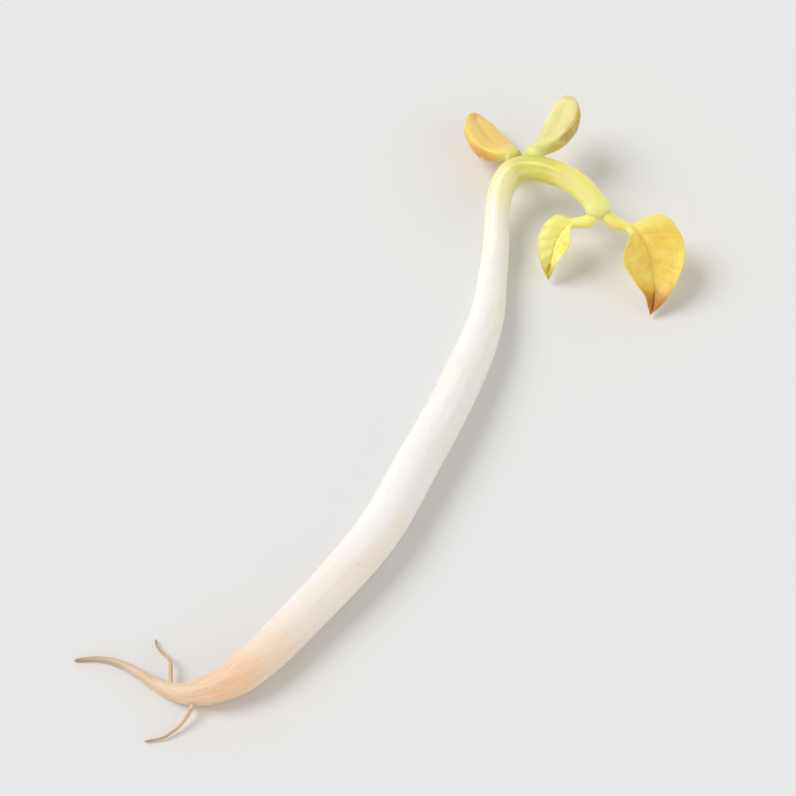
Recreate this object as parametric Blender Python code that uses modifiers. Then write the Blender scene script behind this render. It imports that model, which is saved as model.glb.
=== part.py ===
"""One mung bean sprout lying on a flat surface, at its real size, in metres, +Z up.

The growing axis runs along one smooth curve: root tip, root, collar, stem (hypocotyl), the node where
the two seed leaves sit, then the short hooked shoot (epicotyl) with its first pair of folded leaves.
Each organ is a solid of its own, and neighbours keep a gap of about 0.3 mm.
The origin is at the bottom centre of the sprout's bounding box, and Z = 0 is the surface that it lies on.
"""

import math

import bmesh
import bpy
import numpy as np
from mathutils import Matrix, Vector

# ---------------------------------------------------------------- driving dimensions
MM = 0.001
GAP = 0.3  # mm, between neighbouring organs
NODE_GAP = 0.4  # mm, wider where the stem bends over into the shoot
END_STEP = 0.08  # mm, from the end of a tube to its nearest station
CENTRE_X, CENTRE_Y = -1.71, -1.60 # mm, the middle of the sprout's outline in the layout below

# The growing axis, in mm on the layout: x, y, height of the centre line, radius.
# The underside of the stem lies on the surface, so its height there equals its radius.
ROOT_POINTS = [
    (-22.5, -20.4, 0.12, 0.10),
    (-20.9, -20.3, 0.20, 0.17),
    (-19.2, -20.8, 0.28, 0.25),
    (-17.4, -21.9, 0.40, 0.37),
    (-15.7, -22.8, 0.61, 0.59),
    (-14.0, -22.9, 0.87, 0.86),
    (-12.3, -22.3, 1.10, 1.10),
]
COLLAR_POINT = (-10.8, -21.2, 1.25, 1.25)
STEM_POINTS = [
    (-8.1, -18.4, 1.37, 1.37),
    (-5.45, -15.3, 1.46, 1.46),
    (-2.45, -11.2, 1.53, 1.53),
    (-0.25, -6.8, 1.55, 1.55),
    (1.95, -2.4, 1.54, 1.54),
    (3.8, 2.0, 1.45, 1.45),
    (4.85, 5.4, 1.27, 1.26),
    (5.35, 8.8, 1.14, 1.07),
    (5.7, 12.1, 1.62, 0.95),
    (5.85, 14.4, 2.35, 0.91),
]
NODE_POINT = (6.95, 16.35, 3.25, 0.98)
SHOOT_POINTS = [
    (8.3, 16.35, 3.80, 0.90),
    (9.75, 15.7, 4.15, 0.88),
    (11.15, 14.9, 4.15, 0.87),
    (12.2, 13.95, 3.90, 0.83),
    (12.85, 13.1, 3.50, 0.72),
    (13.15, 12.5, 3.15, 0.48),
]

# The first pair of leaves: points (x, y, z) in mm along the stalk and then the midrib, half width of the
# blade, roll in degrees, and how many degrees each half of the open blade rises from flat.
LEAF_NEAR = {
    "stalk": [(12.25, 12.3, 2.97), (11.9, 12.25, 2.93)],
    "rib": [(11.35, 12.2, 2.9), (10.35, 11.65, 2.6), (9.8, 10.8, 2.0), (9.5, 9.8, 1.2), (9.35, 8.9, 0.45)],
    "half_width": 1.40,
    "roll": 14,
    "opening": 34,
}
LEAF_FAR = {
    "stalk": [(14.1, 12.1, 2.98), (14.45, 12.0, 2.95)],
    "rib": [(14.85, 11.85, 2.93), (15.8, 11.15, 2.75), (16.45, 10.0, 2.25), (16.75, 8.6, 1.5), (16.75, 7.25, 0.82), (16.5, 6.0, 0.38)],
    "half_width": 2.65,
    "roll": -12,
    "opening": 26,
}
LEAF_THICK = 0.26  # mm
STALK_HALF_WIDTH = 0.36  # mm
CLOSED = 68  # degrees that each half rises where the blade is folded shut, at its base and tip

# The seed leaves: base and tip (x, y, z), width, thickness, roll about their length, radius of the base, and
# how far they bend sideways, as a share of their length. Both are twisted a little.
SEED_LEAF_OUTER = {"base": (6.75, 17.6, 3.02), "tip": (3.9, 22.6, 1.55), "width": 2.9, "thick": 1.35, "roll": 200, "neck": 0.62, "bend": -0.10}
SEED_LEAF_INNER = {"base": (8.85, 17.4, 3.95), "tip": (11.35, 22.15, 4.4), "width": 3.0, "thick": 1.35, "roll": 140, "neck": 0.66, "bend": 0.08}
SEED_LEAF_TWIST = 18  # degrees from base to tip

# Side roots: points (x, y, z) in mm; they thin from ROOTLET_R to its tip.
ROOTLETS = {
    "lateral_rootlet_1": [(-14.7, -24.05, 0.80), (-15.3, -25.0, 0.50), (-16.3, -25.7, 0.25), (-17.6, -26.0, 0.16)],
    "lateral_rootlet_2": [(-16.1, -21.75, 0.70), (-16.2, -20.7, 0.80), (-16.9, -19.9, 0.45), (-17.3, -18.9, 0.17)],
}
ROOTLET_R, ROOTLET_TIP_R = 0.16, 0.08

# ---------------------------------------------------------------- a clean scene and its collection
for old in list(bpy.data.objects):
    bpy.data.objects.remove(old, do_unlink=True)
sprout = bpy.data.collections.new("mung_bean_sprout")
bpy.context.scene.collection.children.link(sprout)

lay = bpy.data.objects.new("resting_place", None)
lay.location = (-CENTRE_X * MM, -CENTRE_Y * MM, 0)
sprout.objects.link(lay)


def material(name, colour, roughness):
    made = bpy.data.materials.new(name)
    made.use_nodes = True
    shader = made.node_tree.nodes["Principled BSDF"]
    shader.inputs["Base Color"].default_value = (*colour, 1)
    shader.inputs["Roughness"].default_value = roughness
    shader.inputs["Metallic"].default_value = 0
    return made


STEM_WHITE = material("stem_white", (0.88, 0.87, 0.82), 0.35)
ROOT_TAN = material("root_tan", (0.72, 0.48, 0.30), 0.55)
SHOOT_GREEN = material("shoot_yellow_green", (0.66, 0.66, 0.20), 0.40)
SEED_LEAF_GOLD = material("seed_leaf_gold", (0.80, 0.58, 0.14), 0.50)
LEAF_YELLOW = material("leaf_yellow_green", (0.74, 0.66, 0.16), 0.50)


def finish(obj, paint):
    """Puts a piece under the resting place, with its material and smooth shading."""
    obj.data.materials.append(paint)
    obj.parent = lay
    sprout.objects.link(obj)
    return obj


# ---------------------------------------------------------------- the growing axis
def natural_spline(points):
    """A function of length that passes smoothly through the points, and its total length."""
    p = np.array(points, float)
    chord = np.linalg.norm(np.diff(p[:, :3], axis=0), axis=1)
    t = np.concatenate([[0], np.cumsum(chord)])
    n = len(p)
    a, rhs = np.zeros((n, n)), np.zeros(p.shape)
    a[0, 0] = a[-1, -1] = 1
    for i in range(1, n - 1):
        h0, h1 = t[i] - t[i - 1], t[i + 1] - t[i]
        a[i, i - 1], a[i, i], a[i, i + 1] = h0, 2 * (h0 + h1), h1
        rhs[i] = 6 * ((p[i + 1] - p[i]) / h1 - (p[i] - p[i - 1]) / h0)
    m = np.linalg.solve(a, rhs)

    def at(s):
        s = min(max(s, 0.0), t[-1])
        i = min(int(np.searchsorted(t, s, side="right")) - 1, n - 2)
        h = t[i + 1] - t[i]
        u, v = (t[i + 1] - s) / h, (s - t[i]) / h
        return u * p[i] + v * p[i + 1] + ((u**3 - u) * m[i] + (v**3 - v) * m[i + 1]) * h * h / 6

    return at, t


AXIS, KNOTS = natural_spline([*ROOT_POINTS, COLLAR_POINT, *STEM_POINTS, NODE_POINT, *SHOOT_POINTS])
S_COLLAR = KNOTS[len(ROOT_POINTS)]
S_NODE = KNOTS[len(ROOT_POINTS) + 1 + len(STEM_POINTS)]
S_END = KNOTS[-1]


def tube(name, stations, paint, bevel_resolution):
    """A tapering tube with closed ends through stations of (x, y, z, radius) in mm."""
    data = bpy.data.curves.new(name, "CURVE")
    data.dimensions = "3D"
    data.twist_mode = "MINIMUM"
    data.bevel_depth = MM
    data.bevel_resolution = bevel_resolution
    data.use_fill_caps = True
    line = data.splines.new("POLY")
    line.points.add(len(stations) - 1)
    for point, (x, y, z, r) in zip(line.points, stations):
        point.co = (x * MM, y * MM, z * MM, 1)
        point.radius = r
    line.use_smooth = True
    return finish(bpy.data.objects.new(name, data), paint)


def stretch(start, end, step):
    """Stations along the axis from start to end, about step mm apart, with one close to each end to square it."""
    count = max(2, round((end - start) / step))
    inner = [start + (end - start) * i / count for i in range(1, count)]
    return [AXIS(s) for s in (start, start + END_STEP, *inner, end - END_STEP, end)]


tube("primary_root", stretch(0, S_COLLAR - GAP / 2, 0.45), ROOT_TAN, 5)
tube("hypocotyl", stretch(S_COLLAR + GAP / 2, S_NODE - NODE_GAP / 2, 0.75), STEM_WHITE, 6)
tube("epicotyl", stretch(S_NODE + NODE_GAP / 2, S_END, 0.40), SHOOT_GREEN, 5)

for rootlet, points in ROOTLETS.items():
    count = len(points) - 1
    thin = [(*p, ROOTLET_R + (ROOTLET_TIP_R - ROOTLET_R) * i / count) for i, p in enumerate(points)]
    along, knots = natural_spline(thin)
    tube(rootlet, [along(knots[-1] * i / 14) for i in range(15)], ROOT_TAN, 2)


# ---------------------------------------------------------------- the seed leaves
def even(a, b, x):
    """0 before a, 1 after b, and an S-curve between them."""
    k = min(max((x - a) / (b - a), 0.0), 1.0)
    return k * k * (3 - 2 * k)


def seed_leaf(name, base, tip, width, thick, roll, neck, bend):
    """Half of the bean: domed outside, flatter inside, bent a little, and thick right down to its attachment."""
    bm = bmesh.new()
    bmesh.ops.create_uvsphere(bm, u_segments=24, v_segments=16, radius=1)
    base, tip = Vector(base), Vector(tip)
    length = (tip - base).length
    for v in bm.verts:
        share = (v.co.z + 1) / 2  # the sphere's poles are the two ends
        round_it = math.hypot(v.co.x, v.co.y)
        cos, sin = (v.co.x / round_it, v.co.y / round_it) if round_it > 1e-4 else (0.0, 0.0)
        plump = max(0.0, 1 - abs(2 * share**1.1 - 1) ** 2.3) ** 0.5
        at_neck = neck * (1 - even(0.0, 0.34, share)) ** 0.8
        wide = ((width / 2 * plump) ** 4 + at_neck**4) ** 0.25
        outside = ((thick * plump) ** 4 + at_neck**4) ** 0.25
        inside = ((0.42 * thick * plump) ** 4 + (0.95 * at_neck) ** 4) ** 0.25
        x = wide * cos + bend * length * (math.sin(math.pi * share) - 0.5) * 0.5
        y = (outside if sin > 0 else inside) * sin - 0.30 * thick * (2 * share - 1) ** 2
        turned = Matrix.Rotation(math.radians(SEED_LEAF_TWIST) * (share - 0.5), 2) @ Vector((x, y))
        v.co = (turned.x * MM, turned.y * MM, share * length * MM)
    mesh = bpy.data.meshes.new(name)
    bm.to_mesh(mesh)
    bm.free()
    mesh.shade_smooth()
    obj = bpy.data.objects.new(name, mesh)
    turn = (tip - base).to_track_quat("Z", "Y").to_matrix().to_4x4()
    obj.matrix_local = Matrix.Translation(base * MM) @ turn @ Matrix.Rotation(math.radians(roll), 4, "Z")
    return finish(obj, SEED_LEAF_GOLD)


seed_leaf("cotyledon_outer", **SEED_LEAF_OUTER)
seed_leaf("cotyledon_inner", **SEED_LEAF_INNER)


# ---------------------------------------------------------------- the first pair of leaves
def leaf(name, stalk, rib, half_width, roll, opening):
    """A half-folded pointed blade along its midrib, on a short stalk."""
    along, knots = natural_spline([(*p, 0) for p in (*stalk, *rib)])
    begin, length = knots[len(stalk)], knots[-1]
    rows, columns = 30, 6
    bm = bmesh.new()
    bmesh.ops.create_grid(bm, x_segments=rows, y_segments=columns, size=1)
    for v in bm.verts:
        s, side = (v.co.x + 1) / 2 * length, v.co.y
        share = min(max((s - begin) / (length - begin), 0.0), 1.0)
        here = Vector(along(s)[:3])
        ahead = (Vector(along(min(s + 0.05, length))[:3]) - Vector(along(max(s - 0.05, 0))[:3])).normalized()
        level = Vector((0, 0, 1)).cross(ahead).normalized()
        up = ahead.cross(level)
        tilt = math.radians(roll)
        level, up = level * math.cos(tilt) + up * math.sin(tilt), up * math.cos(tilt) - level * math.sin(tilt)
        blade = half_width * (share / 0.34) ** 0.52 * (1 - share) / 0.66
        wide = max(blade, STALK_HALF_WIDTH * (1 - even(0.0, 0.3, share)), 0.09)
        fold = math.radians(opening + (CLOSED - opening) * (1 - math.sin(math.pi * 0.95 * share) ** 0.7)) * 0.83
        v.co = (here + level * side * wide * math.cos(fold) + up * abs(side) * wide * math.sin(fold)) * MM
    mesh = bpy.data.meshes.new(name)
    bm.to_mesh(mesh)
    bm.free()
    mesh.shade_smooth()
    obj = bpy.data.objects.new(name, mesh)
    shell = obj.modifiers.new("blade_thickness", "SOLIDIFY")
    shell.thickness = LEAF_THICK * MM
    shell.offset = 0
    return finish(obj, LEAF_YELLOW)


leaf("primary_leaf_near", **LEAF_NEAR)
leaf("primary_leaf_far", **LEAF_FAR)
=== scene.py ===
"""The looks of one mung bean sprout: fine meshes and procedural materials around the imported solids.

The growing axis (root, stem, hooked shoot) is one continuous skin, as it grew, because light scatters
through it from end to end. Seed leaves, first leaves and side roots are pieces of their own.
Lengths are in mm in the design tables and turned into metres when a mesh is made.
"""

import math

import bpy
import numpy as np
from mathutils import Matrix, Vector


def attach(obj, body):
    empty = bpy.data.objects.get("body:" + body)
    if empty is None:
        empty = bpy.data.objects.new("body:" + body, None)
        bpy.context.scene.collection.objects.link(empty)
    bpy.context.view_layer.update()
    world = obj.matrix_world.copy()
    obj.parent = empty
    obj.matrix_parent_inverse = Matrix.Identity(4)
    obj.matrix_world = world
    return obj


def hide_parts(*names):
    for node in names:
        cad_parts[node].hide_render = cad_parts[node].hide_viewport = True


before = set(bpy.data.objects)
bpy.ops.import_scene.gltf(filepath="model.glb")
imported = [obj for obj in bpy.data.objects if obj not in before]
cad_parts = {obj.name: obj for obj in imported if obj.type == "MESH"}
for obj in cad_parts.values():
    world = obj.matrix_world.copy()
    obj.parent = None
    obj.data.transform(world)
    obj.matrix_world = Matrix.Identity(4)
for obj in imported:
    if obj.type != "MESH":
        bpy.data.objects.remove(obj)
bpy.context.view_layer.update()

MM = 0.001
CENTRE = np.array([-1.71, -1.60, 0.0])  # mm, the middle of the outline on the layout below

# ---------------------------------------------------------------- the layout, as in the solids' own source
ROOT_POINTS = [
    (-22.5, -20.4, 0.12, 0.10),
    (-20.9, -20.3, 0.20, 0.17),
    (-19.2, -20.8, 0.28, 0.25),
    (-17.4, -21.9, 0.40, 0.37),
    (-15.7, -22.8, 0.61, 0.59),
    (-14.0, -22.9, 0.87, 0.86),
    (-12.3, -22.3, 1.10, 1.10),
]
COLLAR_POINT = (-10.8, -21.2, 1.25, 1.25)
STEM_POINTS = [
    (-8.1, -18.4, 1.37, 1.37),
    (-5.45, -15.3, 1.46, 1.46),
    (-2.45, -11.2, 1.53, 1.53),
    (-0.25, -6.8, 1.55, 1.55),
    (1.95, -2.4, 1.54, 1.54),
    (3.8, 2.0, 1.45, 1.45),
    (4.85, 5.4, 1.27, 1.26),
    (5.35, 8.8, 1.14, 1.07),
    (5.7, 12.1, 1.62, 0.95),
    (5.85, 14.4, 2.35, 0.91),
]
NODE_POINT = (6.95, 16.35, 3.25, 0.98)
SHOOT_POINTS = [
    (8.3, 16.35, 3.80, 0.90),
    (9.75, 15.7, 4.15, 0.88),
    (11.15, 14.9, 4.15, 0.87),
    (12.2, 13.95, 3.90, 0.83),
    (12.85, 13.1, 3.50, 0.72),
    (13.15, 12.5, 3.15, 0.48),
]
LEAF_NEAR = {
    "stalk": [(12.98, 13.15, 3.52), (12.70, 12.72, 3.24), (12.12, 12.27, 2.99)],
    "rib": [(11.35, 12.2, 2.9), (10.35, 11.65, 2.6), (9.8, 10.8, 2.0), (9.5, 9.8, 1.2), (9.35, 8.9, 0.45)],
    "half_width": 1.40,
    "roll": 14,
}
LEAF_FAR = {
    "stalk": [(12.90, 13.10, 3.48), (13.42, 12.66, 3.20), (14.14, 12.14, 2.99)],
    "rib": [(14.85, 11.85, 2.93), (15.8, 11.15, 2.75), (16.45, 10.0, 2.25), (16.75, 8.6, 1.5), (16.75, 7.25, 0.82), (16.5, 6.0, 0.38)],
    "half_width": 2.65,
    "roll": -12,
}
SEED_LEAF_OUTER = {"base": (6.75, 17.6, 3.02), "tip": (3.9, 22.6, 1.55), "width": 2.9, "thick": 1.35, "roll": 200}
SEED_LEAF_INNER = {"base": (8.85, 17.4, 3.95), "tip": (11.35, 22.15, 4.4), "width": 3.0, "thick": 1.35, "roll": 140}
ROOTLETS = {
    "lateral_rootlet_1": [(-14.7, -24.05, 0.80), (-15.3, -25.0, 0.50), (-16.3, -25.7, 0.25), (-17.6, -26.0, 0.16)],
    "lateral_rootlet_2": [(-16.1, -21.75, 0.70), (-16.2, -20.7, 0.80), (-16.9, -19.9, 0.45), (-17.3, -18.9, 0.17)],
}


# ---------------------------------------------------------------- maths
def natural_spline(points):
    """A function of length that passes smoothly through the points, and the length at each of them."""
    p = np.array(points, float)
    chord = np.linalg.norm(np.diff(p[:, :3], axis=0), axis=1)
    t = np.concatenate([[0], np.cumsum(chord)])
    n = len(p)
    a, rhs = np.zeros((n, n)), np.zeros(p.shape)
    a[0, 0] = a[-1, -1] = 1
    for i in range(1, n - 1):
        h0, h1 = t[i] - t[i - 1], t[i + 1] - t[i]
        a[i, i - 1], a[i, i], a[i, i + 1] = h0, 2 * (h0 + h1), h1
        rhs[i] = 6 * ((p[i + 1] - p[i]) / h1 - (p[i] - p[i - 1]) / h0)
    m = np.linalg.solve(a, rhs)

    def at(s):
        s = np.clip(np.asarray(s, float), 0.0, t[-1])
        i = np.clip(np.searchsorted(t, s, side="right") - 1, 0, n - 2)
        h = t[i + 1] - t[i]
        u, v = ((t[i + 1] - s) / h)[..., None], ((s - t[i]) / h)[..., None]
        hh = (h * h)[..., None]
        return u * p[i] + v * p[i + 1] + ((u**3 - u) * m[i] + (v**3 - v) * m[i + 1]) * hh / 6

    return at, t


def smooth(a, b, x):
    """0 before a, 1 after b, and an even S-curve between them."""
    k = np.clip((np.asarray(x, float) - a) / (b - a), 0, 1)
    return k * k * (3 - 2 * k)


def lattice(ix, iy, iz, seed):
    n = (ix * 374761393 + iy * 668265263 + iz * 1442695041 + seed * 1013904223) & 0xFFFFFFFF
    n = ((n ^ (n >> 13)) * 1274126177) & 0xFFFFFFFF
    n = ((n ^ (n >> 15)) * 2246822519) & 0xFFFFFFFF
    return ((n ^ (n >> 16)) & 0xFFFFFF) / float(0xFFFFFF)


def bumps(x, y, z, seed=0):
    """Smooth seeded noise from -1 to 1 with features one unit across."""
    x, y, z = np.broadcast_arrays(np.asarray(x, float), np.asarray(y, float), np.asarray(z, float))
    fx, fy, fz = np.floor(x), np.floor(y), np.floor(z)
    ix, iy, iz = fx.astype(np.int64), fy.astype(np.int64), fz.astype(np.int64)
    u, v, w = x - fx, y - fy, z - fz
    u, v, w = (k * k * k * (k * (k * 6 - 15) + 10) for k in (u, v, w))
    total = 0
    for dx in (0, 1):
        for dy in (0, 1):
            for dz in (0, 1):
                share = (u if dx else 1 - u) * (v if dy else 1 - v) * (w if dz else 1 - w)
                total = total + share * lattice(ix + dx, iy + dy, iz + dz, seed)
    return total * 2 - 1


def layered(x, y, z, octaves=3, seed=0):
    total, size = 0, 1.0
    for k in range(octaves):
        total = total + size * bumps(x * 2**k, y * 2**k, z * 2**k, seed + 31 * k)
        size *= 0.5
    return total / 1.75


def unit(v):
    return v / np.maximum(np.linalg.norm(v, axis=-1, keepdims=True), 1e-12)


# ---------------------------------------------------------------- meshes
def make_object(name, points, faces, values=None, vectors=None):
    """A smooth mesh object from points in mm on the layout, with point attributes."""
    mesh = bpy.data.meshes.new(name)
    placed = (np.asarray(points, float) - CENTRE) * MM
    mesh.from_pydata(placed.tolist(), [], faces)
    for key, data in (values or {}).items():
        mesh.attributes.new(key, "FLOAT", "POINT").data.foreach_set("value", np.asarray(data, np.float32).ravel())
    for key, data in (vectors or {}).items():
        layer = mesh.attributes.new(key, "FLOAT_VECTOR", "POINT")
        layer.data.foreach_set("vector", np.asarray(data, np.float32).ravel())
    mesh.update()
    mesh.shade_smooth()
    obj = bpy.data.objects.new(name, mesh)
    bpy.context.scene.collection.objects.link(obj)
    return obj


def skin_faces(n, m):
    """Quads of n rings of m points, and a fan at each end onto two pole points that follow them."""
    faces = []
    for i in range(n - 1):
        a, b = i * m, (i + 1) * m
        faces += [(a + j, a + (j + 1) % m, b + (j + 1) % m, b + j) for j in range(m)]
    first, last = n * m, n * m + 1
    faces += [(first, (j + 1) % m, j) for j in range(m)]
    top = (n - 1) * m
    faces += [(last, top + j, top + (j + 1) % m) for j in range(m)]
    return faces


def along_frames(at, s):
    """Centre, radius, tangent, side and up directions at lengths s of a spline of (x, y, z, radius)."""
    here = at(s)
    t = unit(at(s + 0.02)[:, :3] - at(s - 0.02)[:, :3])
    side = unit(np.cross(t, [0, 0, 1.0]))
    up = np.cross(side, t)
    return here[:, :3], here[:, 3], t, side, up


# ---------------------------------------------------------------- the growing axis
AXIS, KNOTS = natural_spline([*ROOT_POINTS, COLLAR_POINT, *STEM_POINTS, NODE_POINT, *SHOOT_POINTS])
S_COLLAR = float(KNOTS[len(ROOT_POINTS)])
S_NODE = float(KNOTS[len(ROOT_POINTS) + 1 + len(STEM_POINTS)])
S_END = float(KNOTS[-1])

# shallow dents of uneven growth: length along, direction round, half length, half width, depth
DENTS = [
    (S_COLLAR + 6.5, 1.9, 1.6, 0.75, 0.050),
    (S_COLLAR + 15.5, 0.7, 2.2, 0.60, 0.045),
    (S_COLLAR + 24.0, 2.5, 1.5, 0.70, 0.050),
    (S_COLLAR + 31.0, 1.2, 1.2, 0.60, 0.040),
    (S_NODE - 4.2, 0.2, 1.0, 0.70, 0.045),
]


def growing_axis():
    m = 112
    end = 0.46  # the rounded growing tip
    body = np.linspace(0.25, S_END - end, 440)
    tail = 0.25 * (1 - np.cos(np.linspace(0.45, math.pi / 2, 8)))
    head = S_END - end + end * np.sin(np.linspace(0.12, math.pi / 2 * 0.97, 14))
    s = np.concatenate([tail[:-1], body, head])
    c, r, t, side, up = along_frames(AXIS, s)
    # small wanderings of the centre line
    free = smooth(0.5, 5.0, s) * (1 - smooth(S_NODE - 4.0, S_NODE - 1.0, s))
    c = c + (0.060 * free * bumps(s / 6.4, 0.3, 0.7, 91))[:, None] * side
    c = c + (0.035 * free * (1 + bumps(s / 6.5, 4.3, 0.2, 93)))[:, None] * up
    # rounded ends
    r = r * np.where(s < 0.25, np.sqrt(np.clip(1 - ((0.25 - s) / 0.25) ** 2, 0.02, 1)), 1)
    over = np.clip((s - (S_END - end)) / end, 0, 0.995)
    r = r * np.sqrt(1 - over**2)
    th = np.arange(m) * 2 * math.pi / m
    cs, sn = np.cos(th)[None, :], np.sin(th)[None, :]
    S, R = s[:, None], r[:, None]
    root = 1 - smooth(S_COLLAR - 3.0, S_COLLAR + 1.2, S)  # 1 in the root, 0 in the stem
    shoot = smooth(S_NODE - 0.8, S_NODE + 0.8, S)
    # an oval section that turns along the stem, slow unevenness, and long low ribs over the strands inside
    oval = 0.030 * np.cos(2 * (th[None, :] - 0.05 * S + 0.6))
    slow = 0.024 * layered(S / 6.0, 0.9 * cs, 0.9 * sn, 2, 3)
    ribs = 0.012 * bumps(S / 9.0, 3.2 * cs, 3.2 * sn, 11) + 0.0065 * bumps(S / 4.0, 7.5 * cs, 7.5 * sn, 17)
    fine = 0.0045 * layered(S / 0.9, 3.0 * cs, 3.0 * sn, 2, 23)
    # root skin: furrows along it, rings where it has shrunk, and a low shoulder at the collar
    furrows = 0.055 * layered(S / 2.6, 2.4 * cs, 2.4 * sn, 3, 41) + 0.028 * bumps(S / 1.2, 6.5 * cs, 6.5 * sn, 43)
    rings = 0.022 * bumps(S / 0.42 + 0.6 * bumps(S / 1.5, cs, sn, 5), 0.8 * cs, 0.8 * sn, 47)
    shoulder = 0.035 * np.exp(-(((S - (S_COLLAR - 0.9 + 0.5 * bumps(S * 0, 1.1 * cs, 1.1 * sn, 53))) / 0.7) ** 2))
    # the shoot has a shallow groove along each side
    grooves = -0.040 * np.exp(-((np.sin(th - 0.9)[None, :] / 0.22) ** 2))
    # the node swells a little where the seed leaves sit
    swell = 0.09 * np.exp(-(((S - S_NODE) / 0.75) ** 2)) * (0.6 + 0.4 * np.cos(2 * (th[None, :] - 1.0)))
    # fine creases across the inner side of the bend under the node
    crease = -0.014 * np.exp(-(((S - (S_NODE - 1.1)) / 1.0) ** 2)) * (0.5 + 0.5 * np.sin(S * 2 * math.pi / 0.55))
    crease = crease * smooth(0.1, 0.9, cs)
    rho = R * (1 + oval * (1 - 0.5 * root) + slow + (ribs + fine) * (1 - root) + (furrows + rings) * root)
    leaf_seat = (0.10 + 0.24 * cs**2) * smooth(S_END - 1.5, S_END - 0.55, S)
    grooves = grooves * (1 - smooth(S_END - 1.6, S_END - 0.6, S))
    rho = rho + R * (grooves * shoot + swell + crease + shoulder + leaf_seat)
    for place, direction, half_length, half_width, depth in DENTS:
        round_it = np.angle(np.exp(1j * (th[None, :] - direction)))
        rho = rho - depth * np.exp(-(((S - place) / half_length) ** 2)) * np.exp(-((round_it / half_width) ** 2))
    p = c[:, None, :] + rho[..., None] * (cs[..., None] * side[:, None, :] + sn[..., None] * up[:, None, :])
    p[..., 2] = np.maximum(p[..., 2], 0.0)
    poles = np.array([c[0] - t[0] * 0.01, c[-1] + t[-1] * 0.02])
    poles[:, 2] = np.maximum(poles[:, 2], 0.0)
    points = np.concatenate([p.reshape(-1, 3), poles])
    full = np.broadcast_to(S, rho.shape)
    length = np.concatenate([full.ravel(), [s[0], s[-1]]])
    rod = np.stack([R * cs, R * sn, full], -1).reshape(-1, 3)
    rod = np.concatenate([rod, [[0, 0, s[0]], [0, 0, s[-1]]]])
    return make_object("stem_root_and_shoot", points, skin_faces(len(s), m), {"along": length}, {"rod": rod})


# ---------------------------------------------------------------- side roots
def rootlet(name, points, into):
    """A fine kinked root that starts inside the main root's skin at the point into."""
    path = [into, *points]
    radii = [0.17, *np.linspace(0.145, 0.055, len(points))]
    at, knots = natural_spline([(*p, r) for p, r in zip(path, radii)])
    n, m = 110, 22
    s = np.linspace(0, knots[-1], n)
    c, r, t, side, up = along_frames(at, s)
    kink = np.stack([bumps(s / 0.6, 0, k, 7) for k in (1.3, 5.7)], 1) * (0.05 * smooth(0.4, 1.4, s))[:, None]
    c = c + kink[:, :1] * side + kink[:, 1:] * up * 0.6
    r = r * np.sqrt(np.clip(1 - (np.clip(s - (knots[-1] - 0.2), 0, 1) / 0.2) ** 2, 0.03, 1))
    th = np.arange(m) * 2 * math.pi / m
    cs, sn = np.cos(th)[None, :], np.sin(th)[None, :]
    rho = r[:, None] * (1 + 0.10 * layered(s[:, None] / 0.5, 1.5 * cs, 1.5 * sn, 2, 61))
    p = c[:, None, :] + rho[..., None] * (cs[..., None] * side[:, None, :] + sn[..., None] * up[:, None, :])
    p[..., 2] = np.maximum(p[..., 2], 0.0)
    pts = np.concatenate([p.reshape(-1, 3), [c[0], c[-1] + t[-1] * 0.01]])
    share = np.concatenate([np.repeat(s / knots[-1], m), [0, 1]])
    rod = np.stack([rho * cs, rho * sn, np.broadcast_to(s[:, None], rho.shape)], -1).reshape(-1, 3)
    rod = np.concatenate([rod, [[0, 0, 0], [0, 0, knots[-1]]]])
    return make_object(name, pts, skin_faces(n, m), {"share": share}, {"rod": rod})


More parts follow.
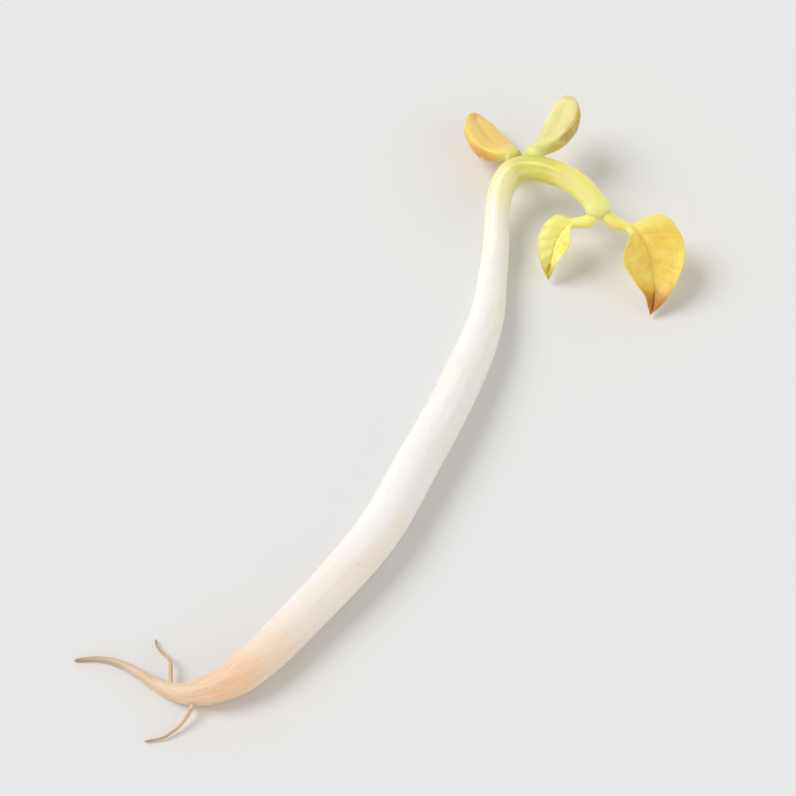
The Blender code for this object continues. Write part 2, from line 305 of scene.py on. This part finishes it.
# ---------------------------------------------------------------- seed leaves
def seed_leaf(name, into, base, tip, width, thick, roll, seed, stalk=0.52, twist=18.0, bend=0.10):
    """A spent seed leaf: domed and wrinkled outside, flatter inside, on a short thick stalk from the point into."""
    base, tip = np.asarray(base, float), np.asarray(tip, float)
    length = float(np.linalg.norm(tip - base))
    turn = Vector(tip - base).to_track_quat("Z", "Y").to_matrix() @ Matrix.Rotation(math.radians(roll), 3, "Z")
    wide_way, out_way, long_way = (np.array(list(turn.col[k])) for k in range(3))
    # the stalk's stations, then the body's, closer together at its two ends
    n_stalk, n, m = 22, 160, 120
    k = np.linspace(0.0, 1.0, n)
    a = (1 - np.cos(math.pi * k)) / 2
    A = a[:, None]
    th = np.arange(m) * 2 * math.pi / m
    turned = np.radians(twist) * (A - 0.5)
    cs, sn = np.cos(th)[None, :] * np.ones_like(A), np.sin(th)[None, :] * np.ones_like(A)
    plump = np.clip(1 - np.abs(2 * A**1.1 - 1) ** 2.3, 4e-4, 1) ** 0.5
    half = width / 2 * plump
    neck = stalk * (1 - smooth(0.0, 0.34, A)) ** 0.8
    half_w = (half**4 + neck**4) ** 0.25
    outer = ((thick * plump) ** 4 + neck**4) ** 0.25
    inner = ((0.42 * thick * plump) ** 4 + (neck * 0.95) ** 4) ** 0.25
    flat = smooth(0.10, 0.40, A) * smooth(0.0, 0.12, 1 - A)
    x = half_w * np.sign(cs) * np.abs(cs) ** 0.94
    dish = 0.16 * thick * flat * np.clip(1 - np.abs(cs) ** 1.7, 0, 1)
    groove = 0.10 * thick * flat * np.exp(-((cs / 0.22) ** 2))
    y = np.where(sn > 0, outer * np.abs(sn) ** 0.96, -inner * np.abs(sn) ** 0.9 + dish + groove)
    z = A * (length - 0.06) * np.ones_like(cs)
    # the drying skin: folds that run from stalk to tip, puckers across them, slow dents, and an uneven outline
    out = smooth(-0.25, 0.25, sn)
    warp = 0.35 * bumps(x / 0.9, y / 0.9, z / 1.4, seed + 5)
    folds = layered(x / 0.52 + warp, y / 0.75, z / 2.6 + 0.4 * warp, 3, seed)
    pucker = layered(x / 0.30, y / 0.32, z / 0.40, 2, seed + 9)
    dent = bumps(x / 1.3, y / 1.3, z / 1.9, seed + 14)
    body = smooth(0.02, 0.25, A) * smooth(0.0, 0.04, 1 - A)
    deep = (-0.150 * np.abs(folds) ** 0.8 - 0.022 * pucker + 0.060 * dent - 0.02) * body
    deep = deep * (0.66 + 0.34 * out) * np.clip(plump * 1.4, 0, 1)
    nx, ny = cs / half_w, np.where(sn > 0, sn / outer, sn / inner)
    nn = np.sqrt(nx**2 + ny**2)
    x, y = x + deep * nx / nn, y + deep * ny / nn
    # bent inwards along its length, a little to one side, and twisted
    y = y - 0.30 * thick * (2 * A - 1) ** 2
    x = x + bend * length * (np.sin(math.pi * A) - 0.5) * 0.5
    x, y = x * np.cos(turned) - y * np.sin(turned), x * np.sin(turned) + y * np.cos(turned)
    p = base + x[..., None] * wide_way + y[..., None] * out_way + z[..., None] * long_way
    # the stalk runs from the node to the first section, whose shape it keeps
    start, middle = p[0], p[0].mean(0)
    f = np.linspace(0, 1, n_stalk)[:-1, None, None]
    root_end = np.asarray(into, float)
    lean = middle - root_end
    way = long_way * np.linalg.norm(lean)
    line = root_end + lean * f + (way - lean) * (f * f * (f - 1)) * 0.5
    ring = (start - middle)[None] * (0.70 + 0.46 * smooth(0, 0.72, f) - 0.16 * smooth(0.74, 1, f))
    rows = line + ring * (1 + 0.05 * bumps(f[..., 0] * 5.0, 2 * cs[:1], 2 * sn[:1], seed + 3))[..., None]
    p = np.concatenate([rows, p])
    p[..., 2] = np.maximum(p[..., 2], 0.0)
    pre = np.linspace(-0.25, 0, n_stalk)[:-1, None] * np.ones((1, m))
    share = np.concatenate([pre, A * np.ones((1, m))])
    face = np.concatenate([np.ones((n_stalk - 1, m)), sn])
    crease = np.concatenate([np.full((n_stalk - 1, m), 0.5), np.abs(folds) + (1 - body)])
    local = np.stack([x, y, z], -1)
    before = np.broadcast_to(local[:1], (n_stalk - 1, m, 3)).copy()
    before[..., 2] = pre * length
    local = np.concatenate([before, local])
    pts = np.concatenate([p.reshape(-1, 3), [root_end, p[-1].mean(0)]])

    def ends(v, first, last):
        return np.concatenate([v.ravel(), [first, last]])

    return make_object(
        name,
        pts,
        skin_faces(len(p), m),
        {"share": ends(share, -0.25, 1), "outer": ends(face, 1, 0), "crease": ends(crease, 0.5, 0.5)},
        {"rod": np.concatenate([local.reshape(-1, 3), [[0, 0, -0.25 * length], [0, 0, length]]])},
    )


# ---------------------------------------------------------------- first leaves
def first_leaf(name, stalk, rib, half_width, roll, seed, twist=0.0, opening=34.0):
    """A young half-folded blade with sunk veins and a wavy margin, on a stalk that starts inside the shoot's end."""
    path = [*stalk, *rib]
    at, knots = natural_spline([(*p, 0) for p in path])
    begin, total = float(knots[len(stalk)]), float(knots[-1])
    n, m = 230, 45
    s = np.concatenate([np.linspace(0, begin, 50)[:-1], np.linspace(begin, total, n - 49)])
    c = at(s)[:, :3]
    t = unit(at(s + 0.04)[:, :3] - at(s - 0.04)[:, :3])
    level = unit(np.cross([0, 0, 1.0], t))
    up = np.cross(t, level)
    share = np.clip((s - begin) / (total - begin), 0, 1)
    tilt = np.radians(roll + twist * share)[:, None]
    level, up = level * np.cos(tilt) + up * np.sin(tilt), up * np.cos(tilt) - level * np.sin(tilt)
    q = np.clip(share, 1e-4, 1 - 1e-4)[:, None]
    width = half_width * (q / 0.34) ** 0.52 * ((1 - q) / 0.66) ** 1.0
    width = np.maximum(width, 0.02)
    point = smooth(0.82, 1.0, q)
    v = np.linspace(-1, 1, m)[None, :]
    far = np.abs(v)
    # the angle that each half rises at, from the midrib to the margin, summed up into its curved section
    fold = np.radians(opening + (68 - opening) * (1 - np.sin(math.pi * np.clip(q * 0.95, 0, 1)) ** 0.7))
    side_noise = 0.22 * bumps(q * 2.2, np.sign(v) * 2.0, 0.5, seed) * (1 - point)
    wave = 0.78 * bumps(q * 3.0, np.sign(v) * 3.0 + 0.3, 0.0, seed + 3) * smooth(0.30, 1.0, far) * (1 - point)
    edge = 0.70 * smooth(0.74, 1.0, far) * (1 - point)
    rise = fold * (1.10 - 0.55 * far) + side_noise + wave + edge
    step = 2.0 / (m - 1)
    half_m = m // 2
    across, lift = np.zeros((len(s), m)), np.zeros((len(s), m))
    for k in range(1, half_m + 1):
        for way in (1, -1):
            j, i = half_m + way * k, half_m + way * (k - 1)
            angle = (rise[:, j] + rise[:, i]) / 2
            across[:, j] = across[:, i] + way * step * width[:, 0] * np.cos(angle)
            lift[:, j] = lift[:, i] + step * width[:, 0] * np.sin(angle)
    # side veins leave the midrib and curve forwards
    phase = q * 7.0 - far * 1.25 + 0.30 * far**2 + 0.25 * (v > 0)
    near = np.abs((phase % 1.0) - 0.5)  # 0 on a vein
    inside = smooth(0.03, 0.12, q) * (1 - smooth(0.90, 0.99, q))
    vein = np.exp(-((near / 0.070) ** 2)) * smooth(0.02, 0.10, far) * (1 - smooth(0.80, 0.98, far)) * inside
    swell = smooth(0.05, 0.45, near) * (1 - smooth(0.75, 1.0, far)) * smooth(0.03, 0.20, far) * inside
    pucker = layered(q * 11.0, v * 3.2, 0.2, 3, seed + 8) * inside * smooth(0.05, 0.25, far) * (1 - smooth(0.75, 1.0, far))
    trough = np.exp(-((v * width / 0.10) ** 2)) * inside
    stout = 1 - smooth(0.0, 0.40, q)
    keel = (0.15 + 0.22 * stout) * np.exp(-((v * width / (0.15 + 0.14 * stout)) ** 2)) * (1 - 0.95 * q)
    thick = 0.20 * (1 - 0.55 * far**3) * (1 - 0.66 * point)
    nx = -np.sign(v) * np.sin(rise) * np.clip(far * width / 0.12, 0, 1)
    nz = np.cos(rise)
    nn = np.sqrt(nx**2 + nz**2)

    def skin(which):
        if which > 0:  # upper side: veins and midrib lie in furrows
            off = thick / 2 + 0.060 * swell + 0.048 * pucker - 0.022 * vein - 0.05 * trough
        else:  # under side: they stand proud
            off = -thick / 2 + 0.060 * swell + 0.048 * pucker - 0.035 * vein - keel
        x, y = across + off * nx / nn, lift + off * nz / nn
        return c[:, None, :] + x[..., None] * level[:, None, :] + y[..., None] * up[:, None, :]

    loop = np.concatenate([skin(1), skin(-1)[:, ::-1]], 1)
    # the stalk is round, with a groove along its upper side, and widens into the blade
    ang = np.concatenate([np.linspace(0.98, 0.02, m), np.linspace(-0.02, -0.98, m)]) * math.pi
    up_stalk = (s / begin)[:, None]
    radius = 0.26 + 0.23 * smooth(0.05, 0.48, up_stalk) - 0.10 * smooth(0.50, 0.95, up_stalk)
    radius = radius + 0.03 * bumps(s[:, None] / 0.9, 1.0, 0.0, seed)
    radius = radius * (1 - 0.16 * np.exp(-(((ang[None, :] - math.pi / 2) / 0.35) ** 2)))
    circle = (
        c[:, None, :]
        + (radius * np.cos(ang)[None, :])[..., None] * level[:, None, :]
        + (radius * np.sin(ang)[None, :])[..., None] * up[:, None, :]
    )
    blend = smooth(0.0, 0.17, share)[:, None, None]
    loop = circle * (1 - blend) + loop * blend
    loop[..., 2] = np.maximum(loop[..., 2], 0.02)
    mm = loop.shape[1]
    pts = np.concatenate([loop.reshape(-1, 3), [c[0] - t[0] * 0.05, c[-1] + t[-1] * 0.04]])

    def both(w):
        w = np.broadcast_to(w, (len(s), m))
        return np.concatenate([w, w[:, ::-1]], 1)

    def ends(w, first, last):
        return np.concatenate([w.ravel(), [first, last]])

    upper = np.concatenate([np.ones((len(s), m)), np.zeros((len(s), m))], 1)
    along = np.where(share > 0, share, (s - begin) / total)[:, None]
    rod = np.stack([both(v * width), upper * 0.25, np.broadcast_to(s[:, None], (len(s), mm))], -1).reshape(-1, 3)
    return make_object(
        name,
        pts,
        skin_faces(len(s), mm),
        {
            "share": ends(both(along), float(along[0, 0]), 1),
            "across": ends(both(v), 0, 0),
            "vein": ends(both(vein), 0, 0),
            "hollow": ends(both(1 - swell), 1, 1),
            "upper": ends(upper, 0.5, 0.5),
        },
        {"rod": np.concatenate([rod, [[0, 0, 0], [0, 0, total]]])},
    )


# ---------------------------------------------------------------- materials
def srgb(r, g, b):
    """A colour given as 0-255 screen values, as the linear colour that shaders take."""
    return tuple(((x / 255 + 0.055) / 1.055) ** 2.4 if x > 10 else x / 255 / 12.92 for x in (r, g, b)) + (1.0,)


class Tree:
    """A few shortcuts for building node trees."""

    def __init__(self, name):
        self.material = bpy.data.materials.new(name)
        self.material.use_nodes = True
        self.nodes = self.material.node_tree.nodes
        self.links = self.material.node_tree.links
        self.shader = self.nodes["Principled BSDF"]

    def add(self, kind, **settings):
        node = self.nodes.new("ShaderNode" + kind)
        for key, value in settings.items():
            setattr(node, key, value)
        return node

    def put(self, target, value):
        if isinstance(value, bpy.types.NodeSocket):
            self.links.new(value, target)
        else:
            target.default_value = value

    def attribute(self, name, output="Fac"):
        return self.add("Attribute", attribute_name=name).outputs[output]

    def maths(self, operation, a, b=0.0, clamp=False):
        node = self.add("Math", operation=operation, use_clamp=clamp)
        self.put(node.inputs[0], a)
        self.put(node.inputs[1], b)
        return node.outputs[0]

    def stretch(self, vector, scale, shift=(0, 0, 0)):
        node = self.add("Mapping")
        self.put(node.inputs["Vector"], vector)
        node.inputs["Scale"].default_value = scale
        node.inputs["Location"].default_value = shift
        return node.outputs[0]

    def noise(self, vector, scale=1.0, detail=2.0, roughness=0.5, distortion=0.0):
        node = self.add("TexNoise")
        self.put(node.inputs["Vector"], vector)
        node.inputs["Scale"].default_value = scale
        node.inputs["Detail"].default_value = detail
        node.inputs["Roughness"].default_value = roughness
        node.inputs["Distortion"].default_value = distortion
        return node.outputs["Fac"]

    def spots(self, vector, scale=1.0, randomness=1.0):
        node = self.add("TexVoronoi")
        self.put(node.inputs["Vector"], vector)
        node.inputs["Scale"].default_value = scale
        node.inputs["Randomness"].default_value = randomness
        return node.outputs["Distance"]

    def window(self, value, low, high, to_low=0.0, to_high=1.0):
        node = self.add("MapRange", interpolation_type="SMOOTHSTEP")
        self.put(node.inputs["Value"], value)
        node.inputs["From Min"].default_value = low
        node.inputs["From Max"].default_value = high
        node.inputs["To Min"].default_value = to_low
        node.inputs["To Max"].default_value = to_high
        return node.outputs["Result"]

    def ramp(self, value, stops, low=0.0, high=1.0):
        """Colours along a value that runs from low to high: stops of (place, colour)."""
        node = self.add("ValToRGB")
        line = node.color_ramp
        line.interpolation = "EASE"
        while len(line.elements) < len(stops):
            line.elements.new(0.5)
        for element, (place, colour) in zip(line.elements, stops):
            element.position = (place - low) / (high - low)
            element.color = colour
        scaled = self.add("MapRange")
        self.put(scaled.inputs["Value"], value)
        scaled.inputs["From Min"].default_value = low
        scaled.inputs["From Max"].default_value = high
        self.links.new(scaled.outputs["Result"], node.inputs["Fac"])
        return node.outputs["Color"]

    def mix(self, share, a, b, blend="MIX"):
        node = self.add("Mix", data_type="RGBA", blend_type=blend)
        self.put(node.inputs["Factor"], share)
        self.put(node.inputs[6], a)
        self.put(node.inputs[7], b)
        return node.outputs[2]

    def bump(self, height, distance, strength=1.0, under=None):
        node = self.add("Bump")
        self.put(node.inputs["Height"], height)
        node.inputs["Distance"].default_value = distance
        node.inputs["Strength"].default_value = strength
        if under is not None:
            self.links.new(under, node.inputs["Normal"])
        return node.outputs["Normal"]

    def finish(self, colour, roughness, normal, scatter, scale, radius, specular=0.5, coat=0.0, coat_roughness=0.2):
        shader = self.shader
        self.put(shader.inputs["Base Color"], colour)
        self.put(shader.inputs["Roughness"], roughness)
        if normal is not None:
            self.links.new(normal, shader.inputs["Normal"])
        shader.inputs["Subsurface Weight"].default_value = scatter
        shader.inputs["Subsurface Scale"].default_value = scale
        shader.inputs["Subsurface Radius"].default_value = radius
        shader.inputs["Specular IOR Level"].default_value = specular
        shader.inputs["Coat Weight"].default_value = coat
        shader.inputs["Coat Roughness"].default_value = coat_roughness
        return self.material


def axis_material():
    """White stem that yellows at the neck and browns down the root, with faint strands showing through the skin."""
    t = Tree("sprout_skin")
    along, rod = t.attribute("along"), t.attribute("rod", "Vector")
    # the colours don't change at the same length all round
    drift = t.noise(t.stretch(rod, (0.9, 0.9, 0.20), (4, 4, 4)), 1.0, 2.0, 0.5)
    place = t.maths("ADD", along, t.maths("MULTIPLY", t.maths("SUBTRACT", drift, 0.5), 3.4))
    base = t.ramp(
        place,
        [
            (0.0, srgb(142, 116, 88)),
            (1.2, srgb(186, 160, 130)),
            (4.5, srgb(216, 194, 166)),
            (8.0, srgb(236, 204, 168)),
            (S_COLLAR - 1.6, srgb(246, 208, 172)),
            (S_COLLAR + 1.0, srgb(248, 224, 202)),
            (S_COLLAR + 4.5, srgb(247, 239, 230)),
            (S_COLLAR + 14.0, srgb(250, 248, 246)),
            (S_NODE - 9.0, srgb(251, 250, 244)),
            (S_NODE - 3.6, srgb(253, 251, 230)),
            (S_NODE - 1.3, srgb(247, 243, 186)),
            (S_NODE + 0.8, srgb(222, 220, 106)),
            (S_NODE + 2.8, srgb(226, 216, 90)),
            (S_NODE + 4.6, srgb(254, 242, 132)),
            (S_END, srgb(255, 248, 156)),
        ],
        0.0,
        S_END,
    )
    in_root = t.window(place, S_COLLAR - 1.5, S_COLLAR + 2.0, 1.0, 0.0)
    in_shoot = t.window(along, S_NODE - 2.5, S_NODE + 0.5)
    # strands under the skin, as long pale and greyer lines
    strands = t.noise(t.stretch(rod, (2.4, 2.4, 0.10)), 1.0, 2.0, 0.55)
    threads = t.noise(t.stretch(rod, (7.0, 7.0, 0.22)), 1.0, 2.0, 0.5)
    line = t.window(strands, 0.42, 0.66)
    stem = t.mix(t.maths("MULTIPLY", line, 0.24), base, srgb(238, 226, 208))
    stem = t.mix(t.maths("MULTIPLY", t.window(threads, 0.50, 0.72), 0.12), stem, srgb(255, 254, 250))
    # warm and glassy clouds
    cloud = t.noise(t.stretch(rod, (0.5, 0.5, 0.16), (3, 1, 0)), 1.0, 2.0, 0.5)
    stem = t.mix(t.maths("MULTIPLY", t.window(cloud, 0.50, 0.72), 0.30), stem, srgb(250, 226, 200))
    glassy = t.noise(t.stretch(rod, (0.7, 0.7, 0.30), (11, 6, 2)), 1.0, 3.0, 0.6)
    stem = t.mix(t.maths("MULTIPLY", t.window(glassy, 0.54, 0.70), 0.22), stem, srgb(238, 228, 210))
    # root: thin brown furrows and a rusty bloom
    furrow = t.noise(t.stretch(rod, (3.4, 3.4, 0.42)), 1.3, 4.0, 0.62)
    bloom = t.noise(t.stretch(rod, (0.9, 0.9, 0.45), (5, 2, 1)), 1.0, 3.0, 0.6)
    rooty = t.mix(t.maths("MULTIPLY", t.window(bloom, 0.50, 0.74), 0.42), stem, srgb(240, 184, 136))
    rooty = t.mix(t.maths("MULTIPLY", t.window(furrow, 0.50, 0.72), 0.40), rooty, srgb(196, 158, 116))
    colour = t.mix(in_root, stem, rooty)
    # a few small rusty marks on the stem, more of them towards the collar
    marks = t.window(t.spots(t.stretch(rod, (1.0, 1.0, 0.42), (2.0, 7.0, 1.5)), 0.62), 0.03, 0.13, 1.0, 0.0)
    where = t.window(t.noise(t.stretch(rod, (0.4, 0.4, 0.2), (9, 9, 9)), 1.0, 1.0), 0.48, 0.60)
    low = t.window(along, S_COLLAR + 14, S_COLLAR + 1, 0.10, 0.50)
    amount = t.maths("MULTIPLY", t.maths("MULTIPLY", marks, where), low)
    colour = t.mix(amount, colour, srgb(206, 160, 112))
    # shoot: greener threads and greener clouds
    green = t.mix(t.maths("MULTIPLY", t.window(threads, 0.40, 0.64), 0.32), colour, srgb(204, 204, 84))
    green = t.mix(t.maths("MULTIPLY", t.window(cloud, 0.40, 0.62), 0.30), green, srgb(198, 200, 78))
    upper_part = t.window(along, S_NODE + 2.2, S_NODE + 5.2, 1.0, 0.22)
    colour = t.mix(t.maths("MULTIPLY", in_shoot, upper_part), colour, green)
    rough = t.maths("ADD", t.window(strands, 0.3, 0.7, 0.26, 0.36), t.maths("MULTIPLY", in_root, 0.20))
    height = t.noise(t.stretch(rod, (6.0, 6.0, 0.9)), 1.6, 3.0, 0.55)
    pores = t.noise(rod, 14.0, 2.0, 0.5)
    normal = t.bump(height, 0.00003, 0.55)
    normal = t.bump(pores, 0.000008, 0.5, normal)
    grain = t.bump(t.maths("MULTIPLY", furrow, in_root), 0.00010, 0.8, normal)
    return t.finish(colour, rough, grain, 0.62, 0.0009, (1.0, 0.76, 0.56), 0.5, 0.14, 0.16)


def rootlet_material():
    t = Tree("fine_root_skin")
    share, rod = t.attribute("share"), t.attribute("rod", "Vector")
    base = t.ramp(
        share, [(0.0, srgb(236, 202, 166)), (0.35, srgb(220, 190, 156)), (0.8, srgb(196, 166, 132)), (1.0, srgb(152, 124, 94))]
    )
    fleck = t.noise(t.stretch(rod, (6, 6, 2.4)), 1.2, 3.0, 0.6)
    colour = t.mix(t.maths("MULTIPLY", t.window(fleck, 0.45, 0.7), 0.36), base, srgb(164, 126, 88))
    normal = t.bump(fleck, 0.00003, 0.7)
    return t.finish(colour, t.window(fleck, 0.3, 0.7, 0.42, 0.56), normal, 0.40, 0.0003, (1.0, 0.7, 0.45), 0.45)


def seed_leaf_material(name, flesh, shade, pale, stalk, blush):
    """Golden skin: painted shade in its creases, paler in soft clouds, cream inside, greener at the stalk."""
    t = Tree(name)
    share, outer, crease, rod = t.attribute("share"), t.attribute("outer"), t.attribute("crease"), t.attribute("rod", "Vector")
    cloud = t.noise(t.stretch(rod, (0.7, 0.7, 0.45)), 1.0, 3.0, 0.55)
    colour = t.mix(t.window(cloud, 0.36, 0.66), flesh, pale)
    warm = t.noise(t.stretch(rod, (0.55, 0.55, 0.35), (7, 3, 5)), 1.0, 2.0, 0.5)
    colour = t.mix(t.maths("MULTIPLY", t.window(warm, 0.48, 0.68), 0.55), colour, blush)
    # painted shade: the skin is darkened along its fold lines, as if shade lay in the creases
    colour = t.mix(t.maths("MULTIPLY", t.window(crease, 0.16, 0.0), 0.55), colour, shade)
    fine = t.noise(t.stretch(rod, (4.5, 4.5, 1.8)), 1.4, 3.0, 0.6)
    colour = t.mix(t.maths("MULTIPLY", t.window(fine, 0.48, 0.70), 0.28), colour, shade)
    inner = t.window(outer, 0.20, -0.50)
    colour = t.mix(t.maths("MULTIPLY", inner, 0.72), colour, pale)
    colour = t.mix(t.window(share, 0.20, -0.04), colour, stalk)
    tip = t.maths("MULTIPLY", t.window(share, 0.88, 1.0), 0.40)
    colour = t.mix(tip, colour, shade)
    speck = t.window(t.spots(t.stretch(rod, (1.3, 1.3, 0.9), (1, 4, 2)), 1.0), 0.05, 0.13, 1.0, 0.0)
    colour = t.mix(t.maths("MULTIPLY", speck, 0.35), colour, srgb(190, 128, 52))
    rough = t.window(fine, 0.3, 0.7, 0.34, 0.48)
    normal = t.bump(fine, 0.00004, 0.7)
    normal = t.bump(t.noise(rod, 11.0, 2.0, 0.5), 0.000010, 0.5, normal)
    return t.finish(colour, rough, normal, 0.50, 0.0007, (1.0, 0.70, 0.24), 0.45, 0.10, 0.25)


def leaf_material(name, blade, deep, green, rib, tip_colour):
    """Soft young leaf: pale ribs and side veins, painted shade in the low ground beside them, deeper colour in
    clouds and a fine net, greener towards the stalk.
    """
    t = Tree(name)
    share, across, vein, hollow = (t.attribute(k) for k in ("share", "across", "vein", "hollow"))
    rod = t.attribute("rod", "Vector")
    cloud = t.noise(t.stretch(rod, (0.9, 0.9, 0.6)), 1.0, 3.0, 0.55)
    colour = t.mix(t.window(cloud, 0.36, 0.68), blade, deep)
    # painted shade: deeper colour in the low ground around the veins and wherever the blade isn't puffed up
    colour = t.mix(t.maths("MULTIPLY", t.window(hollow, 0.35, 0.95), 0.30), colour, deep)
    net = t.spots(t.stretch(rod, (1.0, 1.0, 1.0)), 5.5)
    colour = t.mix(t.maths("MULTIPLY", t.window(net, 0.30, 0.62), 0.20), colour, deep)
    colour = t.mix(t.maths("MULTIPLY", vein, 0.34), colour, rib)
    middle = t.window(t.maths("ABSOLUTE", across), 0.11, 0.02)
    colour = t.mix(t.maths("MULTIPLY", middle, 0.60), colour, rib)
    margin = t.window(t.maths("ABSOLUTE", across), 0.88, 1.0)
    colour = t.mix(t.maths("MULTIPLY", margin, 0.12), colour, rib)
    colour = t.mix(t.window(share, 0.30, -0.02, 0.0, 0.90), colour, green)
    tip = t.maths("MULTIPLY", t.window(share, 0.64, 0.90), 0.88)
    colour = t.mix(tip, colour, tip_colour)
    rough = t.window(cloud, 0.3, 0.7, 0.38, 0.50)
    normal = t.bump(t.noise(rod, 7.0, 3.0, 0.55), 0.000028, 0.6)
    normal = t.bump(net, 0.000025, 0.5, normal)
    return t.finish(colour, rough, normal, 0.45, 0.0004, (0.9, 0.8, 0.28), 0.42)


# ---------------------------------------------------------------- the pieces
def dress(obj, material, slot, *nodes):
    obj.data.materials.append(material)
    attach(obj, "root")
    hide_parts(*nodes)
    return obj


dress(growing_axis(), axis_material(), "stem", "hypocotyl", "primary_root", "epicotyl")

fine_root = rootlet_material()
dress(rootlet("side_root_1", ROOTLETS["lateral_rootlet_1"], (-14.25, -23.05, 0.88)), fine_root, "root", "lateral_rootlet_1")
dress(rootlet("side_root_2", ROOTLETS["lateral_rootlet_2"], (-16.02, -22.6, 0.56)), fine_root, "root", "lateral_rootlet_2")

dress(
    seed_leaf("seed_leaf_outer", (6.92, 16.45, 3.22), **SEED_LEAF_OUTER, seed=101, stalk=0.62, bend=-0.10),
    seed_leaf_material(
        "seed_leaf_gold",
        srgb(240, 196, 84),
        srgb(206, 148, 52),
        srgb(248, 218, 122),
        srgb(224, 216, 116),
        srgb(228, 164, 66),
    ),
    "seed_leaf",
    "cotyledon_outer",
)
dress(
    seed_leaf("seed_leaf_inner", (8.3, 16.38, 3.80), **SEED_LEAF_INNER, seed=203, stalk=0.66, bend=0.08),
    seed_leaf_material(
        "seed_leaf_olive",
        srgb(218, 194, 86),
        srgb(176, 144, 54),
        srgb(240, 234, 166),
        srgb(234, 232, 142),
        srgb(214, 172, 70),
    ),
    "seed_leaf",
    "cotyledon_inner",
)
dress(
    first_leaf("first_leaf_near", **LEAF_NEAR, seed=7),
    leaf_material(
        "leaf_yellow",
        srgb(255, 248, 160),
        srgb(254, 236, 118),
        srgb(252, 244, 146),
        srgb(255, 250, 190),
        srgb(206, 190, 78),
    ),
    "leaf",
    "primary_leaf_near",
)
dress(
    first_leaf("first_leaf_far", **LEAF_FAR, seed=19, opening=26.0),
    leaf_material(
        "leaf_gold",
        srgb(255, 228, 118),
        srgb(244, 204, 84),
        srgb(252, 240, 138),
        srgb(255, 240, 162),
        srgb(184, 112, 46),
    ),
    "leaf",
    "primary_leaf_far",
)


# ---------------------------------------------------------------- floor, light and camera
def floor():
    mesh = bpy.data.meshes.new("floor")
    size = 1.6
    mesh.from_pydata([(-size, -size, 0), (size, -size, 0), (size, size, 0), (-size, size, 0)], [], [(0, 1, 2, 3)])
    obj = bpy.data.objects.new("floor", mesh)
    bpy.context.scene.collection.objects.link(obj)
    t = Tree("pale_floor")
    t.shader.inputs["Base Color"].default_value = srgb(236, 236, 236)
    t.shader.inputs["Roughness"].default_value = 0.85
    t.shader.inputs["Specular IOR Level"].default_value = 0.15
    mesh.materials.append(t.material)
    return obj


floor()


def sun_light(name, source, angle, power, colour):
    """A distant soft light from the direction of source."""
    data = bpy.data.lights.new(name, "SUN")
    data.angle = math.radians(angle)
    data.energy = power
    data.color = colour
    obj = bpy.data.objects.new(name, data)
    obj.rotation_mode = "QUATERNION"
    obj.rotation_quaternion = (-Vector(source)).to_track_quat("-Z", "Y")
    bpy.context.scene.collection.objects.link(obj)
    return obj


sun_light("key", (-0.64, 0.20, 0.78), 34, 1.58, (1.0, 0.995, 0.985))
sun_light("fill", (0.75, -0.35, 0.60), 50, 0.42, (1.0, 0.88, 0.75))


def studio():
    """A soft studio: bright and even near the horizon, where the floor meets it, and dimmer overhead."""
    world = bpy.data.worlds.new("studio")
    world.use_nodes = True
    nodes, links = world.node_tree.nodes, world.node_tree.links
    place = nodes.new("ShaderNodeTexCoord")
    split = nodes.new("ShaderNodeSeparateXYZ")
    height = nodes.new("ShaderNodeMapRange")
    height.interpolation_type = "SMOOTHSTEP"
    height.inputs["From Min"].default_value = 0.10
    height.inputs["From Max"].default_value = 0.75
    height.inputs["To Min"].default_value = 0.90
    height.inputs["To Max"].default_value = 0.42
    links.new(place.outputs["Generated"], split.inputs[0])
    links.new(split.outputs["Z"], height.inputs["Value"])
    links.new(height.outputs["Result"], nodes["Background"].inputs["Strength"])
    nodes["Background"].inputs["Color"].default_value = (1.0, 1.0, 1.0, 1.0)
    return world


bpy.context.scene.world = studio()
bpy.context.scene.view_settings.view_transform = "Standard"

ELEVATION = math.radians(60)
LENS, AWAY = 100.0, 0.152
aim = Vector((0.0003, 0.0, 0.0018))
eye = aim + Vector((0, -math.cos(ELEVATION), math.sin(ELEVATION))) * AWAY
camera_data = bpy.data.cameras.new("camera")
camera_data.lens = LENS
camera_data.clip_start, camera_data.clip_end = 0.01, 20
camera = bpy.data.objects.new("camera", camera_data)
camera.location = eye
camera.rotation_mode = "QUATERNION"
camera.rotation_quaternion = (aim - eye).to_track_quat("-Z", "Y")
bpy.context.scene.collection.objects.link(camera)
bpy.context.scene.camera = camera

bpy.context.view_layer.update()
